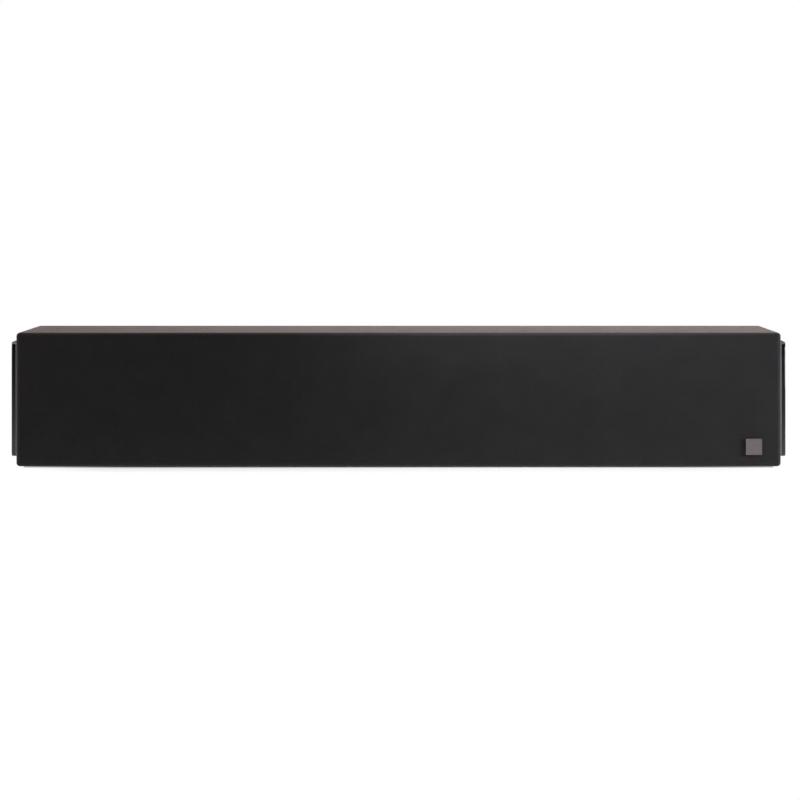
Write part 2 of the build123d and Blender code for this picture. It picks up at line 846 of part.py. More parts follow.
pieces["tweeter_top_plate"] = revolved(
    0,
    [
        (dome_radius + plate_gap, plate_top),
        (tweeter_plate_radius, plate_top),
        (tweeter_plate_radius, tweeter_magnet_top),
        (dome_radius + plate_gap, tweeter_magnet_top),
    ],
)
pieces["tweeter_magnet"] = revolved(
    0,
    [
        (dome_radius + tweeter_magnet_gap, tweeter_magnet_top),
        (tweeter_magnet_radius, tweeter_magnet_top),
        (tweeter_magnet_radius, tweeter_magnet_low),
        (dome_radius + tweeter_magnet_gap, tweeter_magnet_low),
    ],
)
pieces["tweeter_yoke"] = revolved(
    0,
    [
        (0, plate_top - tweeter_pole_drop),
        (tweeter_pole_radius, plate_top - tweeter_pole_drop),
        (tweeter_pole_radius, tweeter_magnet_low),
        (tweeter_yoke_radius, tweeter_magnet_low),
        (tweeter_yoke_radius, tweeter_magnet_low - tweeter_plate_thickness),
        (0, tweeter_magnet_low - tweeter_plate_thickness),
    ],
)

pieces["driver_screws"] = screws(driver_places, driver_screw_length)

# Recessed terminal cup
cup_floor = -cup_depth
with BuildPart() as terminal_cup:
    with BuildSketch(rear_plane):
        RectangleRounded(
            cup_outer_width + 2 * cup_flange, cup_outer_height + 2 * cup_flange, cup_corner + cup_flange
        )
    extrude(amount=cup_flange_thickness)
    fillet(terminal_cup.faces().sort_by(Axis.Y)[-1].edges(), cup_edge_radius)
    with BuildSketch(cup_plane):
        RectangleRounded(cup_outer_width, cup_outer_height, cup_corner + cup_wall)
    extrude(amount=-cup_depth - cup_wall, taper=cup_taper)
    with BuildSketch(cup_plane):
        RectangleRounded(cup_width, cup_height, cup_corner)
    extrude(amount=-cup_depth, taper=cup_taper, mode=Mode.SUBTRACT)
    with Locations(*on_plane(cup_plane, cup_points)):
        drill_countersunk()
    with Locations(*on_plane(cup_plane.offset(cup_floor), [(-post_spacing / 2, 0), (post_spacing / 2, 0)])):
        Hole(post_shank_radius + slip_gap)
pieces["terminal_cup"] = terminal_cup.part

pieces["rear_screws"] = screws(on_plane(rear_plane, rear_points), rear_screw_length) + screws(
    on_plane(cup_plane, cup_points), panel_thickness
)

# Binding posts, seen from behind: the red one is on the right
post_top = -post_recess
shank_low = cup_floor - cup_wall - post_tail
collar_top = cup_floor + post_collar_height
for colour, side in {"red": -1, "black": 1}.items():
    post_x = side * post_spacing / 2
    post_section = Plane(
        origin=(post_x, rear_y + cup_flange_thickness, centre_z), x_dir=(1, 0, 0), z_dir=(0, 0, 1)
    )
    post_axis = Axis((post_x, rear_y, centre_z), (0, 1, 0))
    with BuildPart() as binding_post:
        with BuildSketch(post_section):
            with BuildLine():
                Polyline(
                    (0, shank_low),
                    (post_shank_radius, shank_low),
                    (post_shank_radius, cup_floor),
                    (post_collar_radius, cup_floor),
                    (post_collar_radius, collar_top),
                    (post_radius, collar_top),
                    (post_radius, post_top - post_chamfer),
                    (post_radius - post_chamfer, post_top),
                    (post_bore_radius, post_top),
                    (post_bore_radius, post_top - post_bore_depth),
                    (0, post_top - post_bore_depth - post_bore_tip),
                    close=True,
                )
            make_face()
        revolve(axis=post_axis)
        cross_y = rear_y + cup_flange_thickness + collar_top + 2 * cross_hole_radius
        with Locations((post_x, cross_y, centre_z)):
            Cylinder(cross_hole_radius, 4 * post_radius, mode=Mode.SUBTRACT)
    pieces[f"binding_post_{colour}"] = binding_post.part

    nut_low = collar_top + fit_gap
    nut_top = post_top + nut_cap
    nut_bore = post_radius + nut_play
    with BuildPart() as binding_nut:
        with BuildSketch(post_section):
            with BuildLine():
                Polyline(
                    (nut_bore, nut_low),
                    (nut_radius - nut_waist, nut_low),
                    (nut_radius - nut_waist, nut_low + 2 * nut_waist),
                    (nut_radius, nut_low + 3 * nut_waist),
                    (nut_radius, nut_top - nut_chamfer),
                    (nut_radius - nut_chamfer, nut_top),
                    (nut_bore + nut_mouth_chamfer, nut_top),
                    (nut_bore, nut_top - nut_mouth_chamfer),
                    close=True,
                )
            make_face()
        revolve(axis=post_axis)
        with Locations(rear_face(post_x, rear_y + cup_flange_thickness + nut_low + 4 * nut_waist, centre_z)):
            with PolarLocations(nut_radius + flute_bite, nut_flutes):
                Cylinder(flute_radius, cup_depth, align=centred_above, mode=Mode.SUBTRACT)
    pieces[f"binding_nut_{colour}"] = binding_nut.part

with BuildPart() as lock_nuts:
    under_floor = cup_plane.offset(cup_floor - cup_wall)
    with BuildSketch(under_floor):
        with Locations((-post_spacing / 2, 0), (post_spacing / 2, 0)):
            RegularPolygon(lock_nut_radius, 6)
            Circle(post_shank_radius + grip_gap, mode=Mode.SUBTRACT)
    extrude(amount=-lock_nut_height)
pieces["lock_nuts"] = lock_nuts.part

# Crossover on the bottom panel, behind the left woofer
board_x = -(woofer_x + board_offset)
board_y = rear_inner_y - batten_side - board_width / 2 - board_gap
board_low = inner_bottom + standoff_height
board_top = board_low + board_thickness
block_x = board_x + board_length / 2 - block_inset
block_v = block_share * board_width
standoff_points = grid(board_length / 2 - standoff_inset, board_width / 2 - standoff_inset)
with BuildPart() as crossover_board:
    with Locations((board_x, board_y, board_low)):
        Box(board_length, board_width, board_thickness, align=centred_above)
    with Locations(*[(board_x + u, board_y + v, board_top) for u, v in standoff_points]):
        Hole(standoff_pin_radius + slip_gap)
    with Locations(*[(block_x, board_y + v, board_top) for v in (-block_v, block_v)]):
        Box(block_width, block_length, block_height, align=centred_above)
pieces["crossover_board"] = crossover_board.part

with BuildPart() as crossover_standoffs:
    with Locations(*[(board_x + u, board_y + v, inner_bottom) for u, v in standoff_points]):
        Cylinder(standoff_radius, standoff_height, align=centred_above)
        Cylinder(standoff_pin_radius, standoff_height + board_thickness + fit_gap, align=centred_above)
    with Locations(*[(board_x + u, board_y + v, board_top + clip_rise) for u, v in standoff_points]):
        Cone(clip_radius, clip_tip_radius, clip_height, align=centred_above)
pieces["crossover_standoffs"] = crossover_standoffs.part

inductor_x = board_x - board_length / 2 + inductor_radius + inductor_inset
inductor_v = inductor_radius + inductor_gap / 2
inductor_ys = [board_y + inductor_offset + v for v in (-inductor_v, inductor_v)]
with BuildPart() as crossover_inductors:
    with Locations(*[(inductor_x, y, board_top) for y in inductor_ys]):
        Cylinder(inductor_radius, inductor_height, align=centred_above)
        Cylinder(inductor_core_radius, inductor_height, align=centred_above, mode=Mode.SUBTRACT)
pieces["crossover_inductors"] = crossover_inductors.part

with BuildPart() as crossover_capacitors:
    cap_x = inductor_x + inductor_radius + capacitor_offset + capacitor_radius
    for x in (cap_x, cap_x + 2 * capacitor_radius + capacitor_gap):
        lying = Plane(
            origin=(x, board_y, board_top + capacitor_radius),
            x_dir=(1, 0, 0),
            z_dir=(0, 1, 0),
        )
        with BuildSketch(lying):
            Circle(capacitor_radius)
        extrude(amount=capacitor_length / 2, both=True)
    chamfer(crossover_capacitors.edges().filter_by(GeomType.CIRCLE), capacitor_chamfer)
pieces["crossover_capacitors"] = crossover_capacitors.part

# Leads, each a straight run joined by arcs: terminals to board, board to each driver
lead_z = board_top + lead_radius + lead_rise
loop_y = board_y - board_width / 2 - lead_loop
tail_y = rear_y + cup_flange_thickness + shank_low
start_y = board_y - board_width / 2 + lead_inset
basket_y = baffle_front_y + basket_depth - lead_radius - clip_rise
basket_z = centre_z - motor_seat_radius - solder_gap
tweeter_tail_y = baffle_front_y - tweeter_magnet_low + tweeter_plate_thickness + solder_gap
routes = [
    [
        (block_x, board_y - block_v, board_top + block_height + fit_gap),
        (block_x, board_y - block_v, centre_z),
        (-post_spacing / 2, board_y - block_v, centre_z),
        (-post_spacing / 2, tail_y - solder_gap, centre_z),
    ],
    [
        (board_x, start_y, lead_z),
        (board_x, loop_y, lead_z),
        (0, loop_y, lead_z),
        (0, loop_y, centre_z),
        (0, tweeter_tail_y, centre_z),
    ],
    [
        (board_x - lead_spread, start_y, lead_z),
        (board_x - lead_spread, loop_y - lead_loop, lead_z),
        (-woofer_x, loop_y - lead_loop, lead_z),
        (-woofer_x, basket_y, lead_z),
        (-woofer_x, basket_y, basket_z),
    ],
    [
        (board_x + lead_spread, start_y, lead_z),
        (board_x + lead_spread, loop_y + lead_step, lead_z),
        (woofer_x, loop_y + lead_step, lead_z),
        (woofer_x, basket_y, lead_z),
        (woofer_x, basket_y, basket_z),
    ],
]
with BuildPart() as internal_leads:
    for route in routes:
        with BuildLine() as run:
            FilletPolyline(*route, radius=lead_bend)
        with BuildSketch(Plane(origin=run.line @ 0, z_dir=run.line % 0)):
            Circle(lead_radius)
        sweep(path=run.line)
pieces["internal_leads"] = internal_leads.part

# Damping pads in the outer bays
with BuildPart() as damping_pads:
    bay_inner = brace_x + panel_thickness / 2
    bay_outer = inner_width / 2
    pad_length = bay_outer - bay_inner - 2 * (batten_side + pad_end_gap)
    pad_y = rear_inner_y - batten_side - pad_depth / 2 - pad_play
    with Locations(
        *[
            (side * (bay_inner + bay_outer) / 2, pad_y, inner_bottom)
            for side in sides.values()
        ]
    ):
        Box(pad_length, pad_depth, inner_height - pad_play, align=centred_above)
    fillet(damping_pads.edges(), pad_edge_radius)
pieces["damping_pads"] = damping_pads.part

os.makedirs("parts", exist_ok=True)
for name, piece in pieces.items():
    piece.label = name
    export_step(piece, f"parts/{name}.step")
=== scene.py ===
"""Center channel speaker: a long cabinet wrapped in grille cloth, with gloss end panels."""

import json
import math

import bmesh
import bpy
from bpy.props import FloatProperty, FloatVectorProperty, IntProperty, PointerProperty
from bpy.types import Operator, Panel, PropertyGroup
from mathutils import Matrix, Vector


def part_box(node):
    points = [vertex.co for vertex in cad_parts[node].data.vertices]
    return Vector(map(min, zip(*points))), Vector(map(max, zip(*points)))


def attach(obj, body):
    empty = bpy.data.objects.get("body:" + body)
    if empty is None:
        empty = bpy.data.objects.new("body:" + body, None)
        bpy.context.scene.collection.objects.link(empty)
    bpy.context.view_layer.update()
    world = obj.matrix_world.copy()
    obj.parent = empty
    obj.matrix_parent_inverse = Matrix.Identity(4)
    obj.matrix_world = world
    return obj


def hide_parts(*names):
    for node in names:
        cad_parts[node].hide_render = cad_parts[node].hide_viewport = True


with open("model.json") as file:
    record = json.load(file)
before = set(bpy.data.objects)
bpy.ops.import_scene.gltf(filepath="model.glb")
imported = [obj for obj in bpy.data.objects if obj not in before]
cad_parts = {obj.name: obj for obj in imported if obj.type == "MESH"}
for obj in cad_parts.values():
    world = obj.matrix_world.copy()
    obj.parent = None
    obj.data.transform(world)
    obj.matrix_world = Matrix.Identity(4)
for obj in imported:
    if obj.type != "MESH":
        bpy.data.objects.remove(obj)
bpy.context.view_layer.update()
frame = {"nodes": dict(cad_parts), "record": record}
CLOTH_LOW, CLOTH_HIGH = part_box("grille_cloth")
BADGE_LOW, BADGE_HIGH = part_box("badge")
_, CUP_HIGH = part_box("terminal_cup")
NUT_BOXES = {colour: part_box(f"binding_nut_{colour}") for colour in ("red", "black")}
SPIDER_BOXES = {side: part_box(f"woofer_spider_{side}") for side in ("left", "right")}

bl_info = {
    "name": "Center Channel Speaker",
    "version": (1, 0, 0),
    "blender": (4, 5, 0),
    "location": "View3D > Sidebar > Speaker",
    "description": "Dresses the packed speaker in grille cloth, gloss ends and a photo studio",
    "category": "Object",
}

MM = 0.001
QUARTER_TURN = math.radians(90)

# Tests on faces, edges and corners: a normal along an axis, one across it, and places that meet
SQUARE = 0.9995
ACROSS = 0.01
TOUCH = 0.1 * MM
CLOSE_TOUCH = 0.01 * MM

# Small forms of the pieces
ROLLED_EDGE = 1.2 * MM
BROKEN_EDGE = 0.12 * MM
NUT_NECK, NUT_CHAMFER, NUT_WAIST = 2 * MM, 1.4 * MM, 1 * MM
NUT_SIDE = 0.3 * MM
SMOOTH_ANGLE, NUT_ANGLE = 40.0, 35.0
SPIDER_SEGMENTS = 72
FOLD_STEPS = 4

# The cloth's soft shine, which shows most on the top
CLOTH_SHINE = {
    "Specular IOR Level": 0.1,
    "Sheen Weight": 0.45,
    "Sheen Roughness": 0.3,
    "Sheen Tint": (1.0, 0.75, 0.69, 1.0),
}

# Studio: black flags that only reflections show, each with its middle, and its width and height
FLAGS = (
    ("front_flag", (0.0, -2.4, 2.02), (9.0, 4.0)),
    ("left_flag", (-0.75, 2.0, 0.32), (0.6, 0.6)),
    ("right_flag", (0.75, 2.0, 0.32), (0.6, 0.6)),
)

# Studio: lamps, each with its place, what it points at, its size, its power in watts and its tint
COOL, WARM = (0.9, 0.96, 1.0), (1.0, 0.94, 0.94)
LAMPS = (
    ("key_softbox", (0.95, -0.35, 0.12), (0.3, -0.1, 0.05), (0.2, 0.12), 3.8, COOL),
    ("side_softbox", (1.2, -0.45, 0.32), (0.3, -0.1, 0.05), (0.16, 0.16), 3.0, COOL),
    ("lip_softbox", (0.16, -0.18, 0.26), (0.16, -0.1, 0.1), (0.4, 0.08), 0.64, COOL),
    ("top_softbox", (-0.1, -0.3, 1.9), (-0.1, -0.2, 0.0), (2.8, 1.2), 15.6, (1.0, 0.96, 0.95)),
    ("rim_softbox", (0.5, 2.4, 0.8), (0.1, 0.0, 0.14), (2.2, 0.7), 0.5, (1.0, 0.8, 0.74)),
    ("end_softbox", (-1.25, -0.34, 0.24), (-0.42, -0.1, 0.07), (0.3, 0.3), 4.4, WARM),
    ("fill_softbox", (-1.2, -1.4, 1.1), (-0.35, -0.1, 0.07), (0.8, 0.8), 1.2, WARM),
)
FLOOR_SIZE = 9.0
SENSOR_WIDTH = 36.0
CLIP_END = 50.0


# Shader building

class Value:
    """A shader output that Python's operators work on, each one adding a Math node."""

    def __init__(self, finish, socket):
        self.finish = finish
        self.socket = socket

    def math(self, operation, *others):
        return self.finish.math(operation, self, *others)

    def __add__(self, other):
        return self.math("ADD", other)

    def __sub__(self, other):
        return self.math("SUBTRACT", other)

    def __mul__(self, other):
        return self.math("MULTIPLY", other)

    def __truediv__(self, other):
        return self.math("DIVIDE", other)

    def __rsub__(self, other):
        return self.finish.math("SUBTRACT", other, self)

    def __rtruediv__(self, other):
        return self.finish.math("DIVIDE", other, self)

    def __abs__(self):
        return self.math("ABSOLUTE")

    __radd__ = __add__
    __rmul__ = __mul__


class Finish:
    """A node tree under construction, with one method that adds any node."""

    def __init__(self, tree):
        self.tree = tree
        self.tree.nodes.clear()

    def node(self, kind, settings=None, sockets=None, out=0):
        node = self.tree.nodes.new(kind)
        for key, setting in (settings or {}).items():
            setattr(node, key, setting)
        for key, value in (sockets or {}).items():
            if isinstance(value, Value):
                self.tree.links.new(value.socket, node.inputs[key])
            else:
                node.inputs[key].default_value = value
        return Value(self, node.outputs[out]) if node.outputs else node

    def math(self, operation, *terms):
        return self.node("ShaderNodeMath", {"operation": operation}, dict(enumerate(terms)))

    def mix(self, factor, low, high):
        sockets = {0: factor, 6: opaque(low), 7: opaque(high)}
        return self.node("ShaderNodeMix", {"data_type": "RGBA"}, sockets, out=2)

    def place(self, stretch=(1, 1, 1), output="Object"):
        where = self.node("ShaderNodeTexCoord", out=output)
        return self.node("ShaderNodeMapping", sockets={"Vector": where, "Scale": stretch})

    def axes(self, vector):
        split = self.node("ShaderNodeSeparateXYZ", sockets={"Vector": vector})
        return [Value(self, socket) for socket in split.socket.node.outputs]

    def noise(self, vector, scale, detail=3.0, rough=0.55):
        sockets = {"Vector": vector, "Scale": scale, "Detail": detail, "Roughness": rough}
        return self.node("ShaderNodeTexNoise", sockets=sockets)

    def bump(self, height, distance):
        sockets = {"Height": height, "Distance": distance, "Strength": 1.0}
        return self.node("ShaderNodeBump", sockets=sockets)

    def grey(self, level):
        return self.node("ShaderNodeCombineColor", sockets={0: level, 1: level, 2: level})

    def surface(self, sockets):
        shader = self.node("ShaderNodeBsdfPrincipled", sockets=sockets)
        self.node("ShaderNodeOutputMaterial", sockets={"Surface": shader})


def opaque(colour):
    """A colour as a socket takes it, unless it is already a shader value."""
    return colour if isinstance(colour, Value) else (*colour[:3], 1.0)


def new_finish(name):
    """An empty material and the tree that draws it."""
    material = bpy.data.materials.new(f"{name}_finish")
    material.use_nodes = True
    return material, Finish(material.node_tree)


def grained(name, dark, light, scale, rough, bump, stretch=(1, 1, 1), detail=3.0, **sockets):
    """A two-tone surface whose colour, gloss and relief follow one grain."""
    material, finish = new_finish(name)
    grain = finish.noise(finish.place(stretch), scale, detail)
    finish.surface(
        {
            "Base Color": finish.mix(grain, dark, light),
            "Roughness": rough[0] + (rough[1] - rough[0]) * grain,
            "Normal": finish.bump(grain, bump),
            **sockets,
        }
    )
    return material


def woven(name, painted_gap_shade, thread, pitch, rough, relief, output, plane=(0, 1), **sockets):
    """A plain weave: rounded threads over and under each other, in an uneven yarn, with painted
    shade where the threads sink.
    """
    slubs_per_thread, wander = 0.35, 0.35
    mottle_scale = 28.0
    material, finish = new_finish(name)
    place = finish.place(output=output)
    slub = finish.noise(place, slubs_per_thread / pitch, 2.0)
    mottle = finish.noise(place, mottle_scale, 3.0, 0.6)
    axes = finish.axes(place)
    across, along = (axes[axis] for axis in plane)
    u = across / pitch + wander * slub
    v = along / pitch + wander * slub
    warp = abs((u * math.pi).math("SINE"))
    weft = abs((v * math.pi).math("SINE"))
    over = (u.math("FLOOR") + v.math("FLOOR")).math("FLOORED_MODULO", 2.0)
    lift = warp * (0.5 + 0.5 * weft) * (1 - over) + weft * (0.5 + 0.5 * warp) * over
    # Darker colour where the threads sink between crossings is painted shade in the weave; the
    # slub and mottle terms add random yarn tone.
    shade = lift * (0.65 + 0.45 * slub) * (0.7 + 0.6 * mottle)
    finish.surface(
        {
            "Base Color": finish.mix(shade, painted_gap_shade, thread),
            "Roughness": rough[1] - (rough[1] - rough[0]) * lift,
            "Normal": finish.bump(lift * (0.7 + 0.6 * slub), relief),
            **sockets,
        }
    )
    return material


def gloss_black():
    """Polished black moulding with a faint ripple and a little dust in its gloss."""
    material, finish = new_finish("gloss_black")
    place = finish.place()
    ripple = finish.noise(place, 55.0, 1.0)
    haze = finish.noise(place, 9.0, 5.0, 0.65)
    finish.surface(
        {
            "Base Color": finish.mix(haze, (0.004, 0.004, 0.0045), (0.009, 0.009, 0.0095)),
            "Roughness": 0.05 + 0.07 * haze,
            "Specular IOR Level": 0.72,
            "Normal": finish.bump(ripple, 0.00001),
        }
    )
    return material


def brushed_plate(colour):
    """Satin metal with short strokes along its width and a cloudy tone."""
    material, finish = new_finish("badge_metal")
    strokes = finish.noise(finish.place((1, 1, 22)), 260.0, 4.0, 0.7)
    cloud = finish.noise(finish.place(), 190.0, 2.0)
    tone = 0.55 * strokes + 0.45 * cloud
    dark = [0.72 * c for c in colour]
    light = [min(1.0, 1.28 * c) for c in colour]
    finish.surface(
        {
            "Base Color": finish.mix(tone, dark, light),
            "Metallic": 0.75,
            "Roughness": 0.42 + 0.22 * tone,
            "Normal": finish.bump(strokes, 0.00003),
        }
    )
    return material


def wound_copper():
    """Enamelled wire laid in close turns along the coil's axis, with painted shade between the
    turns.
    """
    wire = 0.4 * MM
    material, finish = new_finish("coil_copper")
    _, along, _ = finish.axes(finish.place())
    turn = abs((along * (math.pi / wire)).math("SINE"))
    finish.surface(
        {
            # Darker colour between the wire's turns: painted shade in the grooves.
            "Base Color": finish.mix(turn, (0.3, 0.12, 0.05), (0.78, 0.4, 0.2)),
            "Metallic": 0.85,
            "Roughness": 0.45 - 0.2 * turn,
            "Normal": finish.bump(turn, 0.0001),
        }
    )
    return material


def circuit_board():
    """Green board with broad copper runs under its lacquer."""
    material, finish = new_finish("circuit_board")
    cells = finish.node(
        "ShaderNodeTexVoronoi",
        {"distance": "MANHATTAN"},
        {"Vector": finish.place(), "Scale": 90.0},
    )
    run = cells.math("GREATER_THAN", 0.42)
    finish.surface(
        {
            "Base Color": finish.mix(run, (0.03, 0.17, 0.06), (0.07, 0.28, 0.1)),
            "Roughness": 0.42 - 0.12 * run,
            "Normal": finish.bump(run, 0.00004),
        }
    )
    return material


# Grained finishes: dark and light tone, grain per metre, range of roughness, relief, other sockets
GRAINS = {
    "satin_trim": ((0.16, 0.158, 0.16), (0.21, 0.207, 0.21), 900.0, (0.34, 0.5), 0.00002, {}),
    "board_mdf": (
        (0.3, 0.2, 0.115), (0.5, 0.38, 0.25), 700.0, (0.8, 0.95), 0.00008, {"detail": 6.0}
    ),
    "rear_black": (
        (0.012, 0.012, 0.0125), (0.034, 0.034, 0.035), 1100.0, (0.48, 0.72), 0.00022, {}
    ),
    "black_plastic": (
        (0.014, 0.014, 0.0145), (0.027, 0.027, 0.028), 1900.0, (0.36, 0.52), 0.00006, {}
    ),
    "rubber": ((0.012, 0.012, 0.012), (0.03, 0.03, 0.029), 1300.0, (0.7, 0.9), 0.00005, {}),
    "basket_alloy": (
        (0.02, 0.02, 0.021), (0.045, 0.045, 0.047), 1500.0, (0.42, 0.6), 0.00004, {}
    ),
    "motor_steel": (
        (0.42, 0.42, 0.4), (0.6, 0.6, 0.6), 240.0, (0.28, 0.45), 0.00002, {"Metallic": 1.0}
    ),
    "ferrite": ((0.04, 0.04, 0.043), (0.1, 0.1, 0.106), 600.0, (0.55, 0.8), 0.00008, {}),
    "cone_poly": ((0.04, 0.04, 0.044), (0.085, 0.085, 0.09), 380.0, (0.4, 0.62), 0.00004, {}),
    "dome_metal": (
        (0.66, 0.66, 0.67), (0.82, 0.82, 0.83), 420.0, (0.25, 0.38), 0.00001, {"Metallic": 1.0}
    ),
    "post_gold": (
        (0.7, 0.48, 0.16), (0.88, 0.68, 0.3), 520.0, (0.16, 0.3), 0.00001,
        {"stretch": (1, 6, 1), "Metallic": 1.0},
    ),
    "nut_red": ((0.36, 0.008, 0.01), (0.55, 0.02, 0.022), 1600.0, (0.28, 0.42), 0.00003, {}),
    "nut_black": (
        (0.011, 0.011, 0.011), (0.024, 0.024, 0.024), 1600.0, (0.28, 0.42), 0.00003, {}
    ),
    "screw_black": (
        (0.015, 0.015, 0.016), (0.05, 0.05, 0.052), 900.0, (0.3, 0.48), 0.00002, {"Metallic": 0.6}
    ),
    "capacitor_film": ((0.48, 0.34, 0.04), (0.62, 0.49, 0.11), 300.0, (0.2, 0.34), 0.00002, {}),
    "nylon": ((0.72, 0.71, 0.66), (0.86, 0.85, 0.8), 800.0, (0.4, 0.55), 0.00003, {}),
    "lead_jacket": ((0.018, 0.018, 0.018), (0.04, 0.04, 0.04), 1200.0, (0.4, 0.55), 0.00003, {}),
    "wadding": (
        (0.6, 0.6, 0.57), (0.88, 0.88, 0.86), 260.0, (0.85, 1.0), 0.0012, {"detail": 8.0}
    ),
}


def finishes(cloth, badge):
    """The material for each slot of the record."""
    made = {slot: grained(slot, *grain, **extra) for slot, (*grain, extra) in GRAINS.items()}
    made["grille_cloth"] = woven(
        "grille_cloth",
        # Colour where the threads sink: painted shade.
        painted_gap_shade=[0.25 * c for c in cloth.thread_colour],
        thread=[2.0 * c for c in cloth.thread_colour],
        pitch=cloth.weave_pitch,
        rough=(0.5, 0.66),
        relief=0.12 * MM,
        output="UV",
        **CLOTH_SHINE,
    )
    made["spider_cloth"] = woven(
        "spider_cloth",
        # Colour where the threads sink: painted shade.
        painted_gap_shade=(0.3, 0.18, 0.05),
        thread=(0.62, 0.42, 0.16),
        pitch=0.9 * MM,
        rough=(0.7, 0.9),
        relief=0.1 * MM,
        output="Object",
        plane=(0, 2),
    )
    made["gloss_black"] = gloss_black()
    made["badge_metal"] = brushed_plate(badge.colour)
    made["coil_copper"] = wound_copper()
    made["circuit_board"] = circuit_board()
    return made


# Modelling helpers

def start(name, add, **settings):
    """Adds a primitive with nothing else selected, at its size and place, and opens it."""
    bpy.ops.object.select_all(action="DESELECT")
    add(**settings)
    piece = bpy.context.object
    piece.name = name
    piece.data.name = name
    bpy.ops.object.transform_apply(location=True, rotation=True, scale=True)
    bpy.ops.object.mode_set(mode="EDIT")
    bpy.ops.mesh.select_all(action="SELECT")
    return piece


def pick(piece, kind, test):
    """Selects the faces or edges of the open piece that pass a test, and needs at least one."""
    bpy.ops.mesh.select_mode(type=kind)
    bpy.ops.mesh.select_all(action="DESELECT")
    mesh = bmesh.from_edit_mesh(piece.data)
    mesh.normal_update()
    chosen = [e for e in {"EDGE": mesh.edges, "FACE": mesh.faces}[kind] if test(e)]
    if not chosen:
        raise RuntimeError(f"nothing to shape on {piece.name}")
    for element in chosen:
        element.select_set(True)
    mesh.select_flush_mode()
    bmesh.update_edit_mesh(piece.data)


def facing(axis, sign):
    """A test for faces that look along an axis."""
    return lambda face: sign * face.normal[axis] > SQUARE


def pull(offset):
    """Extrudes what is selected by an offset."""
    bpy.ops.mesh.extrude_region_move(TRANSFORM_OT_translate={"value": offset})


def close_piece(piece, angle=SMOOTH_ANGLE, weighted=True):
    """Leaves edit mode with outward faces and an even shade over flat areas."""
    bpy.ops.mesh.select_all(action="SELECT")
    bpy.ops.mesh.normals_make_consistent(inside=False)
    bpy.ops.object.mode_set(mode="OBJECT")
    bpy.ops.object.shade_smooth_by_angle(angle=math.radians(angle))
    if weighted:
        modify(piece, "WEIGHTED_NORMAL", keep_sharp=True)


def modify(piece, kind, **settings):
    """Adds a modifier with its settings and applies it."""
    bpy.context.view_layer.objects.active = piece
    modifier = piece.modifiers.new(kind.lower(), kind)
    for key, setting in settings.items():
        setattr(modifier, key, setting)
    bpy.ops.object.modifier_apply(modifier=modifier.name)


def thicken(piece, thickness, offset):
    """Gives a surface its thickness, with closed rims."""
    modify(
        piece, "SOLIDIFY", thickness=thickness, offset=offset, use_even_offset=True, use_rim=True
    )


def repeat(piece, name, shift):
    """Copies a finished piece, with a mesh of its own, to a place further along X."""
    twin = piece.copy()
    twin.data = piece.data.copy()
    twin.name = twin.data.name = name
    bpy.context.collection.objects.link(twin)
    bpy.ops.object.select_all(action="DESELECT")
    twin.select_set(True)
    bpy.context.view_layer.objects.active = twin
    twin.location.x = shift
    bpy.ops.object.transform_apply(location=True, rotation=True, scale=True)
    return twin


def dress(piece, body, slot, nodes=()):
    """Puts a finished piece on its body, in its finish, in place of the solids it stands for."""
    piece.data.materials.clear()
    piece.data.materials.append(bpy.data.materials[f"{slot}_finish"])
    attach(piece, body)
    if nodes:
        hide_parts(*nodes)


# Settings

class GrilleSettings(PropertyGroup):
    """Sizes and colour of the grille cloth."""

    edge_radius: FloatProperty(
        name="Edge Radius",
        description="Rounding of the wrapped edges",
        default=4 * MM,
        unit="LENGTH",
    )
    end_band: FloatProperty(
        name="End Band",
        description="Flat cloth round each end window",
        default=14.5 * MM,
        unit="LENGTH",
    )
    rear_band: FloatProperty(
        name="Rear Band",
        description="Flat cloth round the rear opening",
        default=9.6 * MM,
        unit="LENGTH",
    )
    tuck_depth: FloatProperty(
        name="Tuck Depth",
        description="Cloth turned into the rear opening",
        default=8.8 * MM,
        unit="LENGTH",
    )
    thickness: FloatProperty(
        name="Thickness",
        description="Thickness of the cloth",
        default=0.8 * MM,
        unit="LENGTH",
    )
    cut_size: FloatVectorProperty(
        name="Cut Size",
        description="Width and length of the flat cloth",
        size=2,
        default=(0.873, 0.62),
    )
    weave_pitch: FloatProperty(
        name="Weave Pitch",
        description="Distance from thread to thread",
        default=1.0 * MM,
        unit="LENGTH",
    )
    thread_colour: FloatVectorProperty(
        name="Thread Colour",
        description="Colour of the yarn",
        subtype="COLOR",
        default=(0.016, 0.015, 0.0155),
    )


class BadgeSettings(PropertyGroup):
    """Sizes and colour of the bare plate on the front."""

    corner: FloatProperty(
        name="Corner",
        description="Radius of the plate's corners",
        default=0.4 * MM,
        unit="LENGTH",
    )
    rim: FloatProperty(
        name="Rim",
        description="Width of the raised rim",
        default=1.1 * MM,
        unit="LENGTH",
    )
    field_depth: FloatProperty(
        name="Field Depth",
        description="How far the field lies below the rim",
        default=0.25 * MM,
        unit="LENGTH",
    )
    colour: FloatVectorProperty(
        name="Colour",
        description="Tone of the satin metal",
        subtype="COLOR",
        default=(0.185, 0.158, 0.164),
    )


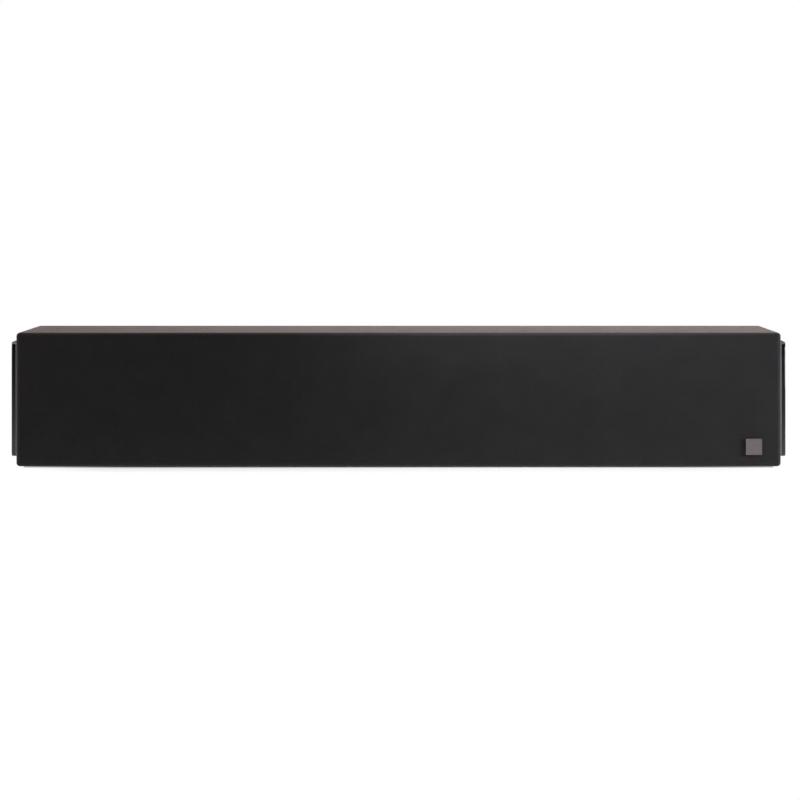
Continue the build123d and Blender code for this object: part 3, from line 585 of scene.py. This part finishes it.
class TerminalSettings(PropertyGroup):
    """Sizes of the binding nuts and of the marks beside them."""

    flutes: IntProperty(
        name="Flutes", description="Grooves round a nut", default=24, min=8, max=48
    )
    flute_depth: FloatProperty(
        name="Flute Depth",
        description="Depth of a groove",
        default=0.5 * MM,
        unit="LENGTH",
    )
    bore: FloatProperty(
        name="Bore",
        description="Radius of the nut's hole",
        default=4.06 * MM,
        unit="LENGTH",
    )
    mark_size: FloatProperty(
        name="Mark Size",
        description="Length of a polarity stroke",
        default=5.6 * MM,
        unit="LENGTH",
    )
    mark_stroke: FloatProperty(
        name="Mark Stroke",
        description="Width of a polarity stroke",
        default=1.4 * MM,
        unit="LENGTH",
    )
    mark_relief: FloatProperty(
        name="Mark Relief",
        description="Height of a mark over the cup",
        default=0.4 * MM,
        unit="LENGTH",
    )
    mark_rise: FloatProperty(
        name="Mark Rise",
        description="Distance of a mark above its nut",
        default=13.5 * MM,
        unit="LENGTH",
    )
    cup_depth: FloatProperty(
        name="Cup Depth",
        description="Depth of the cup's floor",
        default=32 * MM,
        unit="LENGTH",
    )


class DriverSettings(PropertyGroup):
    """Sizes of the folded spider that centres a woofer's coil."""

    folds: IntProperty(
        name="Folds", description="Folds from the seat to the collar", default=5, min=1, max=9
    )
    fold_rise: FloatProperty(
        name="Fold Rise",
        description="Height of a fold",
        default=1.1 * MM,
        unit="LENGTH",
    )
    dish: FloatProperty(
        name="Dish",
        description="How far the collar lies behind the seat",
        default=3.2 * MM,
        unit="LENGTH",
    )
    fold_radius: FloatProperty(
        name="Fold Radius",
        description="Where the folds leave the seat",
        default=33 * MM,
        unit="LENGTH",
    )
    collar_radius: FloatProperty(
        name="Collar Radius",
        description="Where the folds meet the collar",
        default=15.05 * MM,
        unit="LENGTH",
    )
    hole_radius: FloatProperty(
        name="Hole Radius",
        description="Radius of the hole for the coil",
        default=13.45 * MM,
        unit="LENGTH",
    )
    thickness: FloatProperty(
        name="Thickness",
        description="Thickness of the pressed cloth",
        default=0.8 * MM,
        unit="LENGTH",
    )


class StudioSettings(PropertyGroup):
    """Camera and light of the photo studio."""

    camera_place: FloatVectorProperty(
        name="Camera Place",
        description="Where the camera stands",
        subtype="XYZ",
        default=(0.0164, -3.8405, 0.2883),
    )
    lens_shift: FloatVectorProperty(
        name="Lens Shift",
        description="How far the level lens is shifted, in widths",
        size=2,
        default=(-0.0169, -0.2458),
    )
    focal_length: FloatProperty(
        name="Focal Length", description="Lens in millimetres", default=153.72
    )
    ambient: FloatProperty(
        name="Ambient", description="Light from all round", default=0.05
    )
    floor_tone: FloatProperty(
        name="Floor Tone", description="How much light the pale floor returns", default=0.88
    )


SETTINGS = {
    "grille": GrilleSettings,
    "badge": BadgeSettings,
    "terminals": TerminalSettings,
    "drivers": DriverSettings,
    "studio": StudioSettings,
}


# Pieces

class SPEAKER_OT_finishes(Operator):
    """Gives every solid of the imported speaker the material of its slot"""

    bl_idname = "speaker.finishes"
    bl_label = "Finish Solids"

    def execute(self, context):
        made = finishes(context.scene.grille, context.scene.badge)
        for part in frame["record"]["subparts"]:
            solid = frame["nodes"][part["node"]]
            solid.data.materials.clear()
            solid.data.materials.append(made[part["material_slot"]])
        return {"FINISHED"}


class SPEAKER_OT_grille_sleeve(Operator):
    """Models the stretched cloth: a wrapped sleeve with end windows and a tucked rear opening"""

    bl_idname = "speaker.grille_sleeve"
    bl_label = "Grille Sleeve"

    def execute(self, context):
        settings = context.scene.grille
        low, high = CLOTH_LOW, CLOTH_HIGH
        sleeve = start(
            "grille_sleeve",
            bpy.ops.mesh.primitive_cube_add,
            size=1.0,
            location=(low + high) / 2,
            scale=high - low,
        )
        bpy.ops.mesh.bevel(offset=settings.edge_radius, segments=7, affect="EDGES")

        pick(sleeve, "FACE", lambda face: abs(face.normal.x) > SQUARE)
        bpy.ops.mesh.inset(thickness=settings.end_band, use_individual=True)
        bpy.ops.mesh.delete(type="FACE")

        pick(sleeve, "FACE", facing(1, 1))
        bpy.ops.mesh.inset(thickness=settings.rear_band)
        pull((0, -settings.tuck_depth, 0))
        bpy.ops.mesh.delete(type="FACE")

        border = settings.edge_radius + settings.rear_band
        half_width = high.x - border
        half_height = (high.z - low.z) / 2 - border
        middle = (low.z + high.z) / 2

        def on_rim(edge):
            return all(
                high.y - v.co.y < TOUCH
                and abs(v.co.x) < half_width + TOUCH
                and abs(v.co.z - middle) < half_height + TOUCH
                for v in edge.verts
            )

        pick(sleeve, "EDGE", on_rim)
        bpy.ops.mesh.bevel(offset=ROLLED_EDGE, segments=4, affect="EDGES")

        bpy.ops.mesh.select_all(action="SELECT")
        bpy.ops.uv.cube_project(cube_size=1.0, scale_to_bounds=False, clip_to_bounds=False)
        close_piece(sleeve, weighted=False)
        thicken(sleeve, settings.thickness, offset=-1.0)
        modify(sleeve, "WEIGHTED_NORMAL", keep_sharp=True)
        dress(sleeve, "cabinet", "grille_cloth", ["grille_cloth"])
        tuple(settings.cut_size)
        return {"FINISHED"}


class SPEAKER_OT_badge_plate(Operator):
    """Models the bare badge plate with its raised rim"""

    bl_idname = "speaker.badge_plate"
    bl_label = "Badge Plate"

    def execute(self, context):
        settings = context.scene.badge
        high = Vector((BADGE_HIGH.x, CLOTH_LOW.y, BADGE_HIGH.z))
        plate = start(
            "badge_plate",
            bpy.ops.mesh.primitive_cube_add,
            size=1.0,
            location=(BADGE_LOW + high) / 2,
            scale=high - BADGE_LOW,
        )
        pick(plate, "FACE", facing(1, -1))
        bpy.ops.mesh.inset(thickness=settings.rim)
        pull((0, settings.field_depth, 0))
        pick(plate, "EDGE", lambda edge: abs((edge.verts[0].co - edge.verts[1].co).y) > MM)
        bpy.ops.mesh.bevel(offset=settings.corner, segments=4, affect="EDGES")

        def on_front_rim(edge):
            in_front = all(abs(v.co.y - BADGE_LOW.y) < CLOSE_TOUCH for v in edge.verts)
            return in_front and len({round(face.normal.y) for face in edge.link_faces}) > 1

        pick(plate, "EDGE", on_front_rim)
        bpy.ops.mesh.bevel(offset=BROKEN_EDGE, segments=3, affect="EDGES")
        close_piece(plate)
        dress(plate, "cabinet", "badge_metal", ["badge"])
        return {"FINISHED"}


class SPEAKER_OT_binding_nuts(Operator):
    """Models the fluted nut of a terminal once, and copies it to the other post"""

    bl_idname = "speaker.binding_nuts"
    bl_label = "Binding Nuts"

    def execute(self, context):
        settings = context.scene.terminals
        low, high = NUT_BOXES["red"]
        middle = (low + high) / 2
        radius = (high.x - low.x) / 2
        nut = start(
            "binding_nut_red_fluted",
            bpy.ops.mesh.primitive_cylinder_add,
            vertices=2 * settings.flutes,
            radius=radius - NUT_WAIST,
            depth=NUT_NECK,
            location=(middle.x, low.y + NUT_NECK / 2, middle.z),
            rotation=(-QUARTER_TURN, 0, 0),
        )

        def widen(share, step):
            pull((0, step, 0))
            bpy.ops.transform.resize(
                value=(share, 1, share), center_override=(middle.x, low.y, middle.z)
            )

        pick(nut, "FACE", facing(1, 1))
        widen(radius / (radius - NUT_WAIST), NUT_WAIST)
        pull((0, high.y - low.y - NUT_NECK - NUT_WAIST - NUT_CHAMFER, 0))
        widen((radius - NUT_CHAMFER) / radius, NUT_CHAMFER)
        bpy.ops.mesh.inset(thickness=radius - NUT_CHAMFER - settings.bore)
        pick(nut, "FACE", facing(1, -1))
        bpy.ops.mesh.inset(thickness=radius - NUT_WAIST - settings.bore)
        pick(nut, "FACE", lambda face: abs(face.normal.y) > SQUARE and len(face.verts) > 4)
        bpy.ops.mesh.bridge_edge_loops()

        def groove(face):
            out = face.calc_center_median() - middle
            turn = math.atan2(out.z, out.x) / math.tau * 2 * settings.flutes
            on_side = abs(face.normal.y) < ACROSS and out.xz.length > radius - NUT_SIDE
            return on_side and math.floor(turn) % 2 == 0

        pick(nut, "FACE", groove)
        bpy.ops.mesh.extrude_faces_move(
            TRANSFORM_OT_shrink_fatten={"value": -settings.flute_depth}
        )
        close_piece(nut, angle=NUT_ANGLE)
        modify(
            nut,
            "BEVEL",
            width=BROKEN_EDGE,
            segments=2,
            limit_method="ANGLE",
            angle_limit=math.radians(NUT_ANGLE),
        )
        bpy.ops.object.shade_smooth_by_angle(angle=math.radians(SMOOTH_ANGLE))
        twin = repeat(nut, "binding_nut_black_fluted", NUT_BOXES["black"][0].x - low.x)
        dress(nut, "binding_nut_red", "nut_red", ["binding_nut_red"])
        dress(twin, "binding_nut_black", "nut_black", ["binding_nut_black"])
        return {"FINISHED"}


class SPEAKER_OT_polarity_marks(Operator):
    """Models the raised plus and minus on the floor of the terminal cup"""

    bl_idname = "speaker.polarity_marks"
    bl_label = "Polarity Marks"

    def execute(self, context):
        settings = context.scene.terminals
        stroke, relief = settings.mark_stroke, settings.mark_relief
        reach = (settings.mark_size - stroke) / 2
        floor = CUP_HIGH.y - settings.cup_depth
        for colour, name, axes in (("red", "plus_mark", (0, 2)), ("black", "minus_mark", (0,))):
            low, high = NUT_BOXES[colour]
            middle = (low + high) / 2
            centre = (middle.x, floor + relief / 2, middle.z + settings.mark_rise)
            mark = start(
                name,
                bpy.ops.mesh.primitive_cube_add,
                size=1.0,
                location=centre,
                scale=(stroke, relief, stroke),
            )
            for axis in axes:
                for sign in (-1, 1):

                    def side_of_middle(face):
                        where = face.calc_center_median()
                        return (
                            sign * face.normal[axis] > SQUARE
                            and sign * (where[axis] - centre[axis]) < stroke
                            and abs(where[2 - axis] - centre[2 - axis]) < TOUCH
                        )

                    pick(mark, "FACE", side_of_middle)
                    offset = [0.0, 0.0, 0.0]
                    offset[axis] = sign * reach
                    pull(offset)
            pick(mark, "FACE", facing(1, 1))
            bpy.ops.mesh.bevel(offset=BROKEN_EDGE, segments=2, affect="EDGES")
            close_piece(mark)
            dress(mark, "cabinet", "nylon")
        return {"FINISHED"}


class SPEAKER_OT_spiders(Operator):
    """Models a woofer's folded spider, dished clear of the cone, and copies it to the other one"""

    bl_idname = "speaker.spiders"
    bl_label = "Spiders"

    def execute(self, context):
        settings = context.scene.drivers
        low, high = SPIDER_BOXES["left"]
        middle = (low + high) / 2
        radius = (high.x - low.x) / 2
        spider = start(
            "woofer_spider_left_dished",
            bpy.ops.mesh.primitive_circle_add,
            vertices=SPIDER_SEGMENTS,
            radius=radius,
            location=middle,
            rotation=(QUARTER_TURN, 0, 0),
        )
        bpy.ops.mesh.select_mode(type="EDGE")
        depth = 0.0
        for ring, next_depth in self.rings(settings):
            pull((0, next_depth - depth, 0))
            share = ring / radius
            bpy.ops.transform.resize(value=(share, 1, share), center_override=middle)
            radius, depth = ring, next_depth
        close_piece(spider, weighted=False)
        thicken(spider, settings.thickness, offset=0.0)
        twin = repeat(spider, "woofer_spider_right_dished", SPIDER_BOXES["right"][0].x - low.x)
        dress(spider, "cabinet", "spider_cloth", ["woofer_spider_left"])
        dress(twin, "cabinet", "spider_cloth", ["woofer_spider_right"])
        return {"FINISHED"}

    @staticmethod
    def rings(settings):
        """Radius and depth of each ring, from the seat over the folds to the collar."""
        steps = settings.folds * FOLD_STEPS
        rings = [(settings.fold_radius, 0.0)]
        for step in range(1, steps + 1):
            share = step / steps
            wave = settings.fold_rise * math.sin(math.pi * settings.folds * share)
            ring = settings.fold_radius + (settings.collar_radius - settings.fold_radius) * share
            rings.append((ring, settings.dish * share - wave))
        rings.append((settings.hole_radius, settings.dish))
        return rings


class SPEAKER_OT_studio(Operator):
    """Sets the pale floor, the soft lamps, the white background and the camera"""

    bl_idname = "speaker.studio"
    bl_label = "Photo Studio"

    def execute(self, context):
        scene = context.scene
        settings = scene.studio
        floor = start("studio_floor", bpy.ops.mesh.primitive_plane_add, size=FLOOR_SIZE)
        bpy.ops.mesh.subdivide(number_cuts=3)
        bpy.ops.object.mode_set(mode="OBJECT")
        floor.data.materials.append(self.floor_material(settings))

        felt = self.felt_material()
        for name, place, size in FLAGS:
            self.hang_flag(felt, name, place, size)
        for lamp in LAMPS:
            self.place_lamp(scene, *lamp)
        self.light_background(scene, settings)
        self.place_camera(scene, settings)
        scene.view_settings.view_transform = "Standard"
        return {"FINISHED"}

    @staticmethod
    def seen(finish):
        """Two masks: what the camera looks at, and what is seen mirrored or through glass."""
        rays = finish.node("ShaderNodeLightPath").socket.node.outputs
        names = ("Is Camera Ray", "Is Glossy Ray", "Is Transmission Ray")
        camera, glossy, transmitted = [Value(finish, rays[name]) for name in names]
        return camera, glossy.math("MAXIMUM", transmitted)

    def floor_material(self, settings):
        """Pale paper, pictured white round a painted shadow that closes under the cabinet."""
        side_edge, end_edge, taper_start = 0.1065, 0.409, 0.3
        side_soft, end_soft, taper_rise = 0.015, 0.003, 3.5
        taper_weight, shadow_reach, painted_bounce_reach, mirror_spread = 0.5, 0.08, 0.05, 0.8
        painted_bounce_level, mirror_paper, mirror_glow = 0.5, 0.3, 0.7
        under_paper, beside_loss = 0.5, 0.22
        near_glow, far_glow = 0.57, 0.43
        material, finish = new_finish("pale_floor")
        tooth = finish.noise(finish.place(), 90.0, 3.0)
        tone = settings.floor_tone
        paper = finish.mix(tooth, (tone * 0.98,) * 3, (tone,) * 3)
        bounced = finish.node("ShaderNodeBsdfDiffuse", sockets={"Color": paper})
        pictured, mirrored = self.seen(finish)

        across, depth, _ = finish.axes(finish.place())
        # The floor seen in reflections glows most near the cabinet and less further off: a painted
        # reflection.
        reflected_glow_falloff = 1.0 / (1.0 + depth * depth / mirror_spread)
        # Masks by place round the cabinet's footprint: they paint a contact shadow under and in
        # front of it that fades out towards its ends.
        aside = (abs(across) - end_edge).math("MAXIMUM", 0.0)
        apart = (abs(depth) - side_edge).math("MAXIMUM", 0.0)
        toward_end = (abs(across) - taper_start).math("MAXIMUM", 0.0)
        reach = (taper_weight * toward_end * toward_end + apart * apart).math("SQRT")
        beside = aside / end_soft + apart / side_soft + taper_rise * toward_end
        beside = beside.math("MINIMUM", 1.0)
        away = (reach / shadow_reach).math("MINIMUM", 1.0)
        near = (1.0 - apart / painted_bounce_reach).math("MAXIMUM", 0.0)
        # Pictured floor: the glow is cut under the cabinet and dimmed close to it, a painted
        # shadow; the paper part catches the real shadow there and gives way to the glow further
        # out.
        pictured_paper = (under_paper - beside_loss * beside) * (1.0 - away)
        glow_with_painted_shadow = beside * (near_glow + far_glow * away)

        # A painted glow on the floor under and just in front of the cabinet, seen by light
        # bouncing onto it: painted bounce light on the cabinet's lower front.
        lift = finish.grey(painted_bounce_level * near)
        painted_bounce_glow = finish.node("ShaderNodeEmission", sockets={"Color": lift})
        mixed = finish.node("ShaderNodeAddShader", sockets={0: bounced, 1: painted_bounce_glow})
        for mask, shade, glow in (
            (mirrored, mirror_paper, mirror_glow * reflected_glow_falloff),
            (pictured, pictured_paper, glow_with_painted_shadow),
        ):
            lit = finish.node("ShaderNodeBsdfDiffuse", sockets={"Color": finish.grey(shade)})
            glowing = finish.node("ShaderNodeEmission", sockets={"Color": finish.grey(glow)})
            white = finish.node("ShaderNodeAddShader", sockets={0: lit, 1: glowing})
            mixed = finish.node("ShaderNodeMixShader", sockets={0: mask, 1: mixed, 2: white})
        finish.node("ShaderNodeOutputMaterial", sockets={"Surface": mixed})
        return material

    @staticmethod
    def felt_material():
        """Black felt that returns next to no light."""
        felt, finish = new_finish("black_felt")
        pile = finish.noise(finish.place(), 400.0)
        finish.surface(
            {
                "Base Color": finish.mix(pile, (0.003, 0.003, 0.003), (0.006, 0.006, 0.006)),
                "Roughness": 1.0,
                "Specular IOR Level": 0.0,
            }
        )
        return felt

    @staticmethod
    def hang_flag(felt, name, place, size):
        """A black board that stands upright across the room."""
        flag = start(
            name,
            bpy.ops.mesh.primitive_plane_add,
            size=1.0,
            location=place,
            rotation=(QUARTER_TURN, 0, 0),
        )
        bpy.ops.transform.resize(value=(size[0], 1.0, size[1]), center_override=place)
        bpy.ops.object.mode_set(mode="OBJECT")
        flag.data.materials.append(felt)
        flag.visible_camera = flag.visible_diffuse = flag.visible_shadow = False

    @staticmethod
    def place_lamp(scene, name, place, target, size, power, tint):
        """A soft lamp that points at its target."""
        light = bpy.data.lights.new(name, "AREA")
        light.color = tint
        light.shape = "RECTANGLE"
        light.size, light.size_y = size
        light.energy = power
        lamp = bpy.data.objects.new(name, light)
        lamp.location = place
        aim = Vector(target) - Vector(place)
        lamp.rotation_euler = aim.to_track_quat("-Z", "Y").to_euler()
        lamp.visible_camera = False
        scene.collection.objects.link(lamp)

    def light_background(self, scene, settings):
        """White where it is pictured or mirrored, and a weak light from all round elsewhere."""
        scene.world = bpy.data.worlds.new("studio_world")
        scene.world.use_nodes = True
        air = Finish(scene.world.node_tree)
        pictured, mirrored = self.seen(air)
        shown = pictured.math("MAXIMUM", mirrored)
        level = settings.ambient + (1.0 - settings.ambient) * shown
        white = air.node(
            "ShaderNodeBackground", sockets={"Color": (1, 1, 1, 1), "Strength": level}
        )
        air.node("ShaderNodeOutputWorld", sockets={"Surface": white})

    @staticmethod
    def place_camera(scene, settings):
        """A level camera whose shifted lens keeps the uprights straight."""
        lens = bpy.data.cameras.new("photo_camera")
        lens.lens = settings.focal_length
        lens.sensor_width = SENSOR_WIDTH
        lens.shift_x, lens.shift_y = settings.lens_shift
        lens.clip_end = CLIP_END
        camera = bpy.data.objects.new("photo_camera", lens)
        camera.location = settings.camera_place
        camera.rotation_euler = (QUARTER_TURN, 0, 0)
        scene.collection.objects.link(camera)
        scene.camera = camera


class SPEAKER_PT_pieces(Panel):
    """Lists the speaker's settings and the steps that build it"""

    bl_label = "Center Channel Speaker"
    bl_idname = "SPEAKER_PT_pieces"
    bl_space_type = "VIEW_3D"
    bl_region_type = "UI"
    bl_category = "Speaker"

    def draw(self, context):
        for name, group in SETTINGS.items():
            box = self.layout.box()
            box.label(text=name.capitalize())
            for key in group.__annotations__:
                box.prop(getattr(context.scene, name), key)
        for step in STEPS:
            self.layout.operator(step.bl_idname)


STEPS = (
    SPEAKER_OT_finishes,
    SPEAKER_OT_grille_sleeve,
    SPEAKER_OT_badge_plate,
    SPEAKER_OT_binding_nuts,
    SPEAKER_OT_polarity_marks,
    SPEAKER_OT_spiders,
    SPEAKER_OT_studio,
)
CLASSES = (*SETTINGS.values(), *STEPS, SPEAKER_PT_pieces)


def register():
    for cls in CLASSES:
        bpy.utils.register_class(cls)
    for name, group in SETTINGS.items():
        setattr(bpy.types.Scene, name, PointerProperty(type=group))


def unregister():
    for name in SETTINGS:
        delattr(bpy.types.Scene, name)
    for cls in reversed(CLASSES):
        bpy.utils.unregister_class(cls)


def main():
    register()
    for step in STEPS:
        group, operator = step.bl_idname.split(".")
        getattr(getattr(bpy.ops, group), operator)()


if __name__ == "__main__":
    main()
